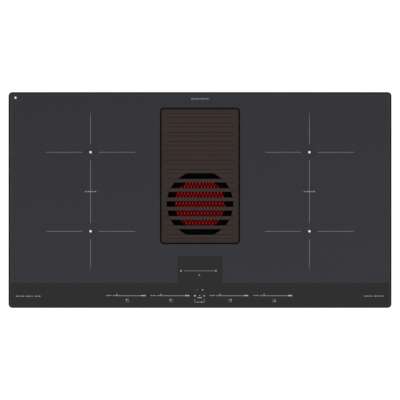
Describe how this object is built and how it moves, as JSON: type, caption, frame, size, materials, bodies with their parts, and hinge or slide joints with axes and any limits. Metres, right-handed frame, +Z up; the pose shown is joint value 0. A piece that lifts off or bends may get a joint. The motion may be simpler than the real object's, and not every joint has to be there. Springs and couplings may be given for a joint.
{
  "type": "downdraft induction cooktop",
  "caption": "Black glass induction cooktop with four zones, a central lift-out grille over a red mesh grease filter, and a blower below that exhausts to the back.",
  "frame": {"origin": "middle of the cooktop at the level of the worktop, the underside of its seal", "axes": "+X to the right of the cook, +Y to the back, +Z up"},
  "size_m": [0.914, 0.515, 0.2],
  "materials": {
    "black_glass": "polished",
    "seal_foam": "matte",
    "galvanised_steel": "satin",
    "zinc_screw": "satin",
    "black_plastic": "matte",
    "silicone": "matte",
    "copper": "satin",
    "aluminium": "satin",
    "ferrite": "matte",
    "mica": "matte",
    "white_plastic": "matte",
    "circuit_board": "satin",
    "component_case": "satin",
    "black_coat": "matte",
    "grey_plastic": "matte",
    "brass": "satin",
    "steel": "satin",
    "brown_coat": "matte",
    "red_coat": "satin",
    "carbon": "matte",
    "clear_tray": "satin",
    "chrome_steel": "polished"
  },
  "bodies": {
    "chassis": {"glass_top": "black_glass", "worktop_seal": "seal_foam", "base_pan": "galvanised_steel", "chassis_screws": "zinc_screw", "intake_well": "black_plastic", "well_seal": "silicone", "throat_plate": "black_coat", "coils": "copper", "coil_dishes": "aluminium", "ferrite_bars": "ferrite", "coil_sensors": "white_plastic", "mica_sheets": "mica", "support_posts": "white_plastic", "power_boards": "circuit_board", "heatsinks": "aluminium", "board_parts": "component_case", "cooling_fan_frames": "black_plastic", "touch_board": "circuit_board", "display_modules": "white_plastic", "terminal_box": "galvanised_steel", "terminal_block": "white_plastic", "terminal_screws": "brass", "hinge_pins": "steel", "cable_gland": "black_plastic", "clamp_rivets": "steel", "casing_standoffs": "black_plastic", "hanger_bolts": "zinc_screw", "fan_casing": "grey_plastic", "filter_box": "grey_plastic", "casing_cover": "grey_plastic", "casing_screws": "zinc_screw", "inlet_ring": "black_plastic", "motor_flange": "aluminium", "motor_stator": "steel", "motor_bearings": "chrome_steel", "motor_grommets": "silicone", "duct_spigot": "white_plastic", "tray_rails": "galvanised_steel", "drain_pipe": "grey_plastic"},
    "grille_cover": {"grille": "brown_coat", "grille_feet": "silicone"},
    "grease_filter": {"filter_rim": "black_coat", "filter_mesh": "red_coat", "filter_cup": "black_plastic", "filter_seal": "silicone"},
    "odour_filter": {"odour_frame": "black_plastic", "odour_carbon": "carbon"},
    "blower_wheel": {"impeller": "white_plastic", "motor_rotor": "steel", "fan_shaft": "steel"},
    "cooling_fan_left": {"cooling_rotor_left": "black_plastic"},
    "cooling_fan_right": {"cooling_rotor_right": "black_plastic"},
    "upper_flap": {"flap_upper": "black_plastic"},
    "lower_flap": {"flap_lower": "black_plastic"},
    "liquid_tray": {"drip_tray": "clear_tray"},
    "terminal_cover": {"terminal_lid": "galvanised_steel"},
    "bracket_front_left": {"clamp_front_left": "galvanised_steel"},
    "bracket_front_right": {"clamp_front_right": "galvanised_steel"},
    "bracket_rear_left": {"clamp_rear_left": "galvanised_steel"},
    "bracket_rear_right": {"clamp_rear_right": "galvanised_steel"}
  },
  "joints": [
    {"name": "grille_lift", "type": "slide", "parent": "chassis", "child": "grille_cover", "axis": [0, 0, 1], "range_m": [0, 0.24]},
    {"name": "grease_filter_lift", "type": "slide", "parent": "chassis", "child": "grease_filter", "axis": [0, 0, 1], "range_m": [0, 0.108]},
    {"name": "odour_filter_lift", "type": "slide", "parent": "chassis", "child": "odour_filter", "axis": [0, 0, 1], "range_m": [0, 0.1968]},
    {"name": "blower_spin", "type": "hinge", "parent": "chassis", "child": "blower_wheel", "pos_m": [0, -0.0095, -0.17], "axis": [0, 0, 1], "continuous": true},
    {"name": "cooling_fan_left_spin", "type": "hinge", "parent": "chassis", "child": "cooling_fan_left", "pos_m": [-0.261, 0.165, -0.047], "axis": [0, 0, 1], "continuous": true},
    {"name": "cooling_fan_right_spin", "type": "hinge", "parent": "chassis", "child": "cooling_fan_right", "pos_m": [0.261, 0.165, -0.047], "axis": [0, 0, 1], "continuous": true},
    {"name": "upper_flap_hinge", "type": "hinge", "parent": "chassis", "child": "upper_flap", "pos_m": [0, 0.222, -0.133], "axis": [-1, 0, 0], "range_deg": [0, 80], "stiffness_Nm_per_rad": 0.02, "springref_deg": -28.65},
    {"name": "lower_flap_hinge", "type": "hinge", "parent": "chassis", "child": "lower_flap", "pos_m": [0, 0.222, -0.141], "axis": [1, 0, 0], "range_deg": [0, 80], "stiffness_Nm_per_rad": 0.02, "springref_deg": -28.65},
    {"name": "drip_tray_slide", "type": "slide", "parent": "chassis", "child": "liquid_tray", "axis": [0, -1, 0], "range_m": [0, 0.055]},
    {"name": "terminal_lid_hinge", "type": "hinge", "parent": "chassis", "child": "terminal_cover", "pos_m": [0.355, 0.172, -0.0933], "axis": [-1, 0, 0], "range_deg": [0, 100]},
    {"name": "bracket_front_left_swing", "type": "hinge", "parent": "chassis", "child": "bracket_front_left", "pos_m": [-0.416, -0.15, -0.0583], "axis": [0, 0, 1], "range_deg": [0, 90]},
    {"name": "bracket_front_right_swing", "type": "hinge", "parent": "chassis", "child": "bracket_front_right", "pos_m": [0.416, -0.15, -0.0583], "axis": [0, 0, -1], "range_deg": [0, 90]},
    {"name": "bracket_rear_left_swing", "type": "hinge", "parent": "chassis", "child": "bracket_rear_left", "pos_m": [-0.416, 0.15, -0.0583], "axis": [0, 0, -1], "range_deg": [0, 90]},
    {"name": "bracket_rear_right_swing", "type": "hinge", "parent": "chassis", "child": "bracket_rear_right", "pos_m": [0.416, 0.15, -0.0583], "axis": [0, 0, 1], "range_deg": [0, 90]}
  ],
  "couplings": [
    {"joint": "grease_filter_lift", "follows": "grille_lift", "ratio": 0.45},
    {"joint": "odour_filter_lift", "follows": "grille_lift", "ratio": 0.82}
  ]
}
